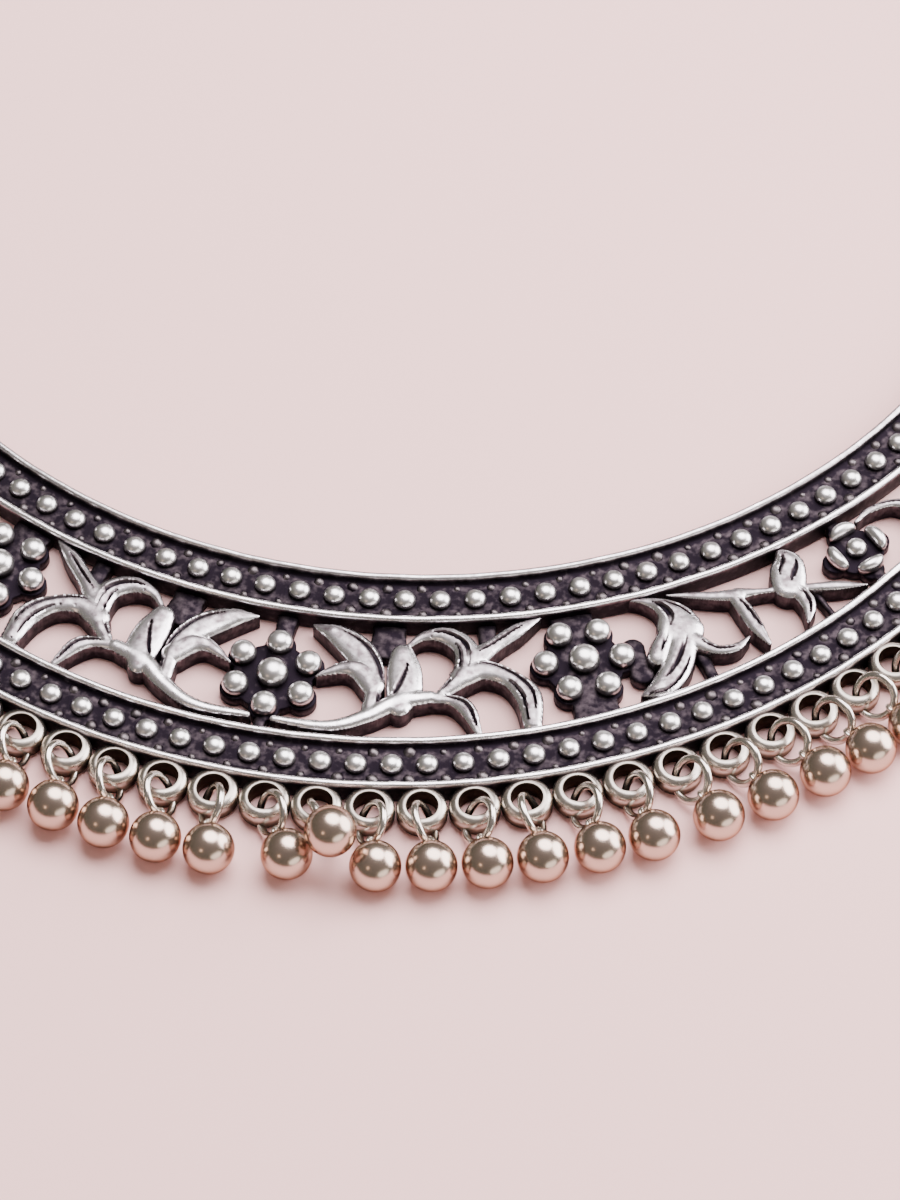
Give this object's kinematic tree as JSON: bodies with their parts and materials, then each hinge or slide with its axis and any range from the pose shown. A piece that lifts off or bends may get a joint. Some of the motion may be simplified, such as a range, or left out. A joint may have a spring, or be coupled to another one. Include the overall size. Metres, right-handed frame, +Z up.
{
  "type": "filigree collar necklace",
  "caption": "Rigid crescent collar necklace with a pierced scroll panel between two beaded rails, a fringe of small balls on jump rings and a plain round neck bar with a link clasp.",
  "frame": {"origin": "middle of the necklace's box, on the surface that it lies on", "axes": "+Z up out of the surface, -Y towards the front of the collar, +X to the right seen from the front"},
  "size_m": [0.1502, 0.1578, 0.0076],
  "materials": {
    "blackened_silver": "cast silver, polished on its raised parts and blackened in its recesses",
    "polished_silver": "mirror polished, warm white",
    "plain_silver": "plain wire, lightly tarnished"
  },
  "bodies": {
    "root": {"collar": "blackened_silver", "clasp_link": "plain_silver", "drop_01": "polished_silver", "drop_02": "polished_silver", "drop_03": "polished_silver", "drop_04": "polished_silver", "drop_05": "polished_silver", "drop_06": "polished_silver", "drop_07": "polished_silver", "drop_08": "polished_silver", "drop_09": "polished_silver", "drop_10": "polished_silver", "drop_11": "polished_silver", "drop_12": "polished_silver", "drop_13": "polished_silver", "drop_14": "polished_silver", "drop_15": "polished_silver", "drop_16": "polished_silver", "drop_17": "polished_silver", "drop_18": "polished_silver", "drop_19": "polished_silver", "drop_20": "polished_silver", "drop_21": "polished_silver", "drop_22": "polished_silver", "drop_23": "polished_silver", "drop_24": "polished_silver", "drop_25": "polished_silver", "drop_26": "polished_silver", "drop_27": "polished_silver", "drop_28": "polished_silver", "drop_29": "polished_silver", "drop_30": "polished_silver", "drop_31": "polished_silver", "drop_32": "polished_silver", "drop_33": "polished_silver", "drop_34": "polished_silver", "drop_35": "polished_silver", "drop_36": "polished_silver", "drop_37": "polished_silver", "drop_38": "polished_silver"}
  },
  "joints": []
}
